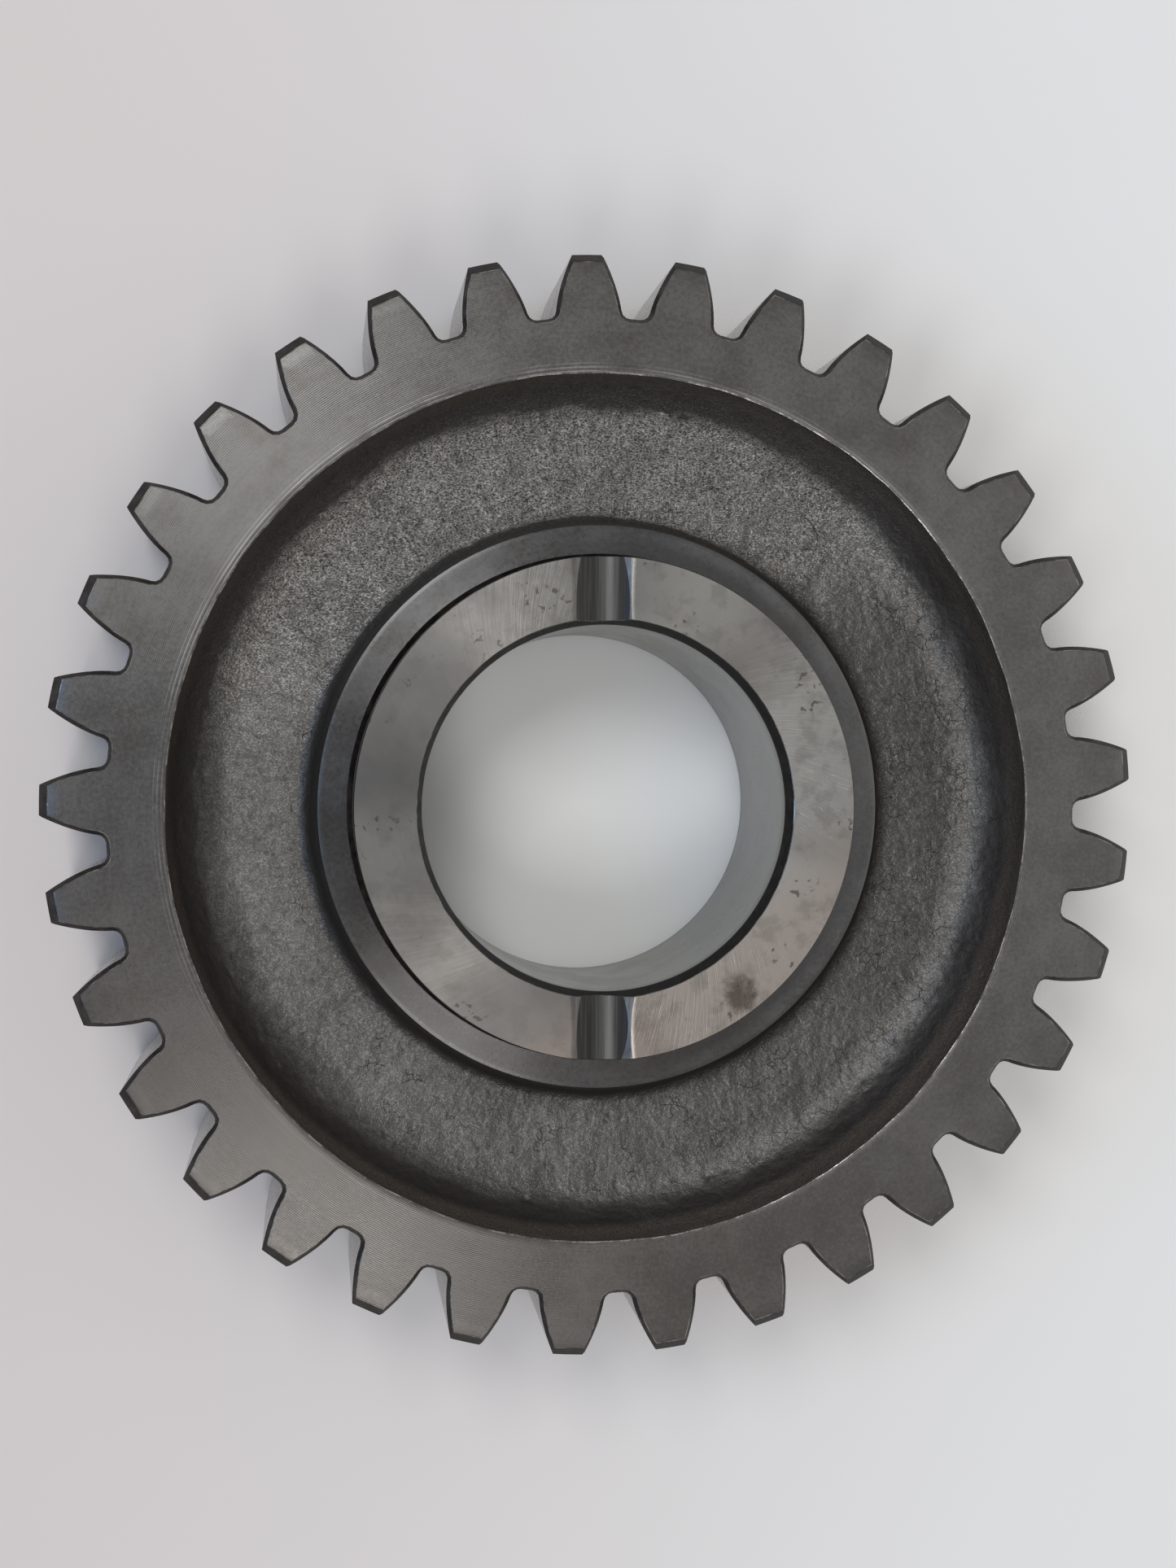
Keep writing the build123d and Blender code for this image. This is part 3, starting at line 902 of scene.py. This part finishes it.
def smooth_steel(name, dark, light, rough, width, length, degrees):
    """Bright steel with fine parallel marks at one angle."""
    steel = Finish(name, 1.0)
    drawn = steel.strokes(degrees, width, length)
    cloud = steel.noise(6.0, 3.0, 0.55)
    colour = steel.mix(steel.ramp(steel.total((drawn, 0.6), (cloud, 0.4)), 0.35, 0.65), dark, light)
    roughness = steel.ramp(cloud, 0.3, 0.7, rough - 0.04, rough + 0.06)
    return steel.finish(colour, roughness, drawn, 0.015)


def honed_bore():
    """The sleeve's bore: marks that run round it."""
    bore = Finish("honed_bore", 1.0)
    lie = bore.vector(bore.times(bore.z, 2.0), bore.times(bore.x, 0.05), bore.times(bore.y, 0.05))
    drawn = bore.noise(1.0, 3.0, 0.6, lie)
    cloud = bore.noise(12.0, 3.0)
    colour = bore.mix(bore.ramp(bore.total((drawn, 0.4), (cloud, 0.6)), 0.35, 0.65), BORE_DARK, BORE_PALE)
    return bore.finish(colour, bore.ramp(cloud, 0.3, 0.7, 0.20, 0.30), drawn, 0.01)


def pale_floor():
    """The plain floor, with painted light: a little lighter to the east, and lighter still inside the bore,
    most towards the south-west.
    """
    floor = Finish("pale_floor", 0.0)
    cloud = floor.noise(90.0, 3.0, 0.5)
    # Painted light: the floor is lighter to the east.
    colour = floor.mix(floor.ramp(floor.x, -170.0, 200.0), FLOOR_WEST_SHADED, FLOOR_EAST_LIT)
    colour = floor.mix(floor.ramp(cloud, 0.3, 0.7, 0.0, 0.08), colour, FLOOR_CLOUD)
    # Painted light inside the bore, lighter towards the south-west, undoing the gear's shadow there.
    inside = floor.mix(floor.ramp(floor.toward(-0.8, -0.6), -28.0, 28.0), FLOOR_BORE_EAST_LIT, FLOOR_BORE_WEST_LIT)
    colour = floor.mix(floor.ramp(floor.radius, 60.0, 130.0, 1.0, 0.0), colour, inside)
    return floor.finish(colour, floor.ramp(cloud, 0.3, 0.7, 0.5, 0.6), cloud, 0.01)


# ---- the two pieces ---------------------------------------------------------
gear_finishes = [
    forged_skin(),
    turned(
        "turned_rim", (0.106, 0.100, 0.094), (0.160, 0.152, 0.144),
        rough=0.36, lie=0.6, feed=0.42, contrast=1.0, lip=True, east_sheen=0.22,
    ),
    turned(
        "turned_hub", (0.078, 0.075, 0.074), (0.131, 0.127, 0.125),
        rough=0.30, lie=0.75, feed=0.30, contrast=0.4, east_sheen=0.45,
    ),
    oxide_black("edge_oxide", 0.6, 0.5, (0.018, 0.015, 0.014), (0.062, 0.051, 0.046)),
    worn_line("worn_edge", (0.46, 0.44, 0.41)),
    tooth_flank(),
    turned(
        "turned_tip", (0.13, 0.122, 0.115), (0.24, 0.225, 0.212),
        rough=0.38, lie=0.6, feed=0.42, contrast=0.8,
    ),
    turned(
        "hub_bore", (0.20, 0.19, 0.175), (0.34, 0.32, 0.30),
        rough=0.34, lie=0.6, feed=0.30, contrast=0.6,
    ),
]
gear = ring_mesh("gear_body_look", *gear_rows(), gear_finishes, "forged_steel")
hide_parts("gear_body")

sleeve_finishes = [
    ground_face(),
    smooth_steel("sleeve_wall", (0.26, 0.245, 0.225), (0.40, 0.38, 0.355), 0.32, 0.6, 9.0, 0.0),
    oxide_black("bore_oxide", 0.0, 0.08, (0.007, 0.007, 0.006), (0.026, 0.023, 0.021)),
    worn_line("sleeve_edge", (0.37, 0.345, 0.315)),
    groove_floor(),
    smooth_steel("groove_bevel", (0.13, 0.13, 0.135), (0.20, 0.20, 0.205), 0.30, 0.3, 6.0, 90.0),
    honed_bore(),
]
sleeve = ring_mesh("bearing_sleeve_look", *sleeve_rows(), sleeve_finishes, "ground_steel")
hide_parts("bearing_sleeve")

# ---- floor, light and camera ------------------------------------------------
FLOOR_HALF = 3.0          # metres
FLOOR_GAP = 0.02 * MM     # keeps the floor off the sleeve's end face
floor_z = sleeve_low.z - FLOOR_GAP
floor_mesh = bpy.data.meshes.new("floor")
corners = [(x * FLOOR_HALF, y * FLOOR_HALF, floor_z) for x, y in ((-1, -1), (1, -1), (1, 1), (-1, 1))]
floor_mesh.from_pydata(corners, [], [(0, 1, 2, 3)])
floor_mesh.materials.append(pale_floor())
floor = bpy.data.objects.new("floor", floor_mesh)
bpy.context.scene.collection.objects.link(floor)

world = bpy.data.worlds.new("studio")
world.use_nodes = True
background = world.node_tree.nodes["Background"]
background.inputs["Color"].default_value = (0.97, 0.985, 1.0, 1.0)
background.inputs["Strength"].default_value = 0.45
bpy.context.scene.world = world


def soft_light(name, place, size, power, colour):
    """A square area light that faces the gear. Its size is in metres and its power in watts."""
    data = bpy.data.lights.new(name, "AREA")
    data.shape = "SQUARE"
    data.size = size
    data.energy = power
    data.color = colour
    lamp = bpy.data.objects.new(name, data)
    lamp.location = place
    lamp.rotation_euler = (-Vector(place)).to_track_quat("-Z", "Y").to_euler()
    bpy.context.scene.collection.objects.link(lamp)


def from_above(azimuth, lean, distance):
    """A place that many degrees round from +X, and that many from straight above the gear."""
    azimuth, lean = math.radians(azimuth), math.radians(lean)
    return (
        distance * math.sin(lean) * math.cos(azimuth),
        distance * math.sin(lean) * math.sin(azimuth),
        distance * math.cos(lean),
    )


soft_light("north_west", from_above(122.0, 28.0, 1.3), 0.45, 5.0, (0.95, 0.98, 1.0))
soft_light("south_west", from_above(251.0, 28.0, 1.3), 0.40, 3.5, (0.98, 0.99, 1.0))
soft_light("west", from_above(178.0, 52.0, 1.5), 0.7, 3.3, (0.28, 0.55, 1.0))
soft_light("east", from_above(8.0, 62.0, 1.7), 1.4, 2.2, (1.0, 0.97, 0.93))

CAMERA_PLACE = (-0.0645, 0.0150, 0.4794)
CAMERA_TURN = Vector((-1.205, -7.583, 0.0))  # degrees, about the direction of this vector
camera_data = bpy.data.cameras.new("camera")
camera_data.lens = 47.8
camera_data.sensor_width = 36.0
camera_data.clip_start = 0.01
camera = bpy.data.objects.new("camera", camera_data)
turned_down = Matrix.Rotation(math.radians(CAMERA_TURN.length), 4, CAMERA_TURN.normalized())
camera.matrix_world = Matrix.Translation(CAMERA_PLACE) @ turned_down
bpy.context.scene.collection.objects.link(camera)
bpy.context.scene.camera = camera
bpy.context.scene.view_settings.view_transform = "Standard"
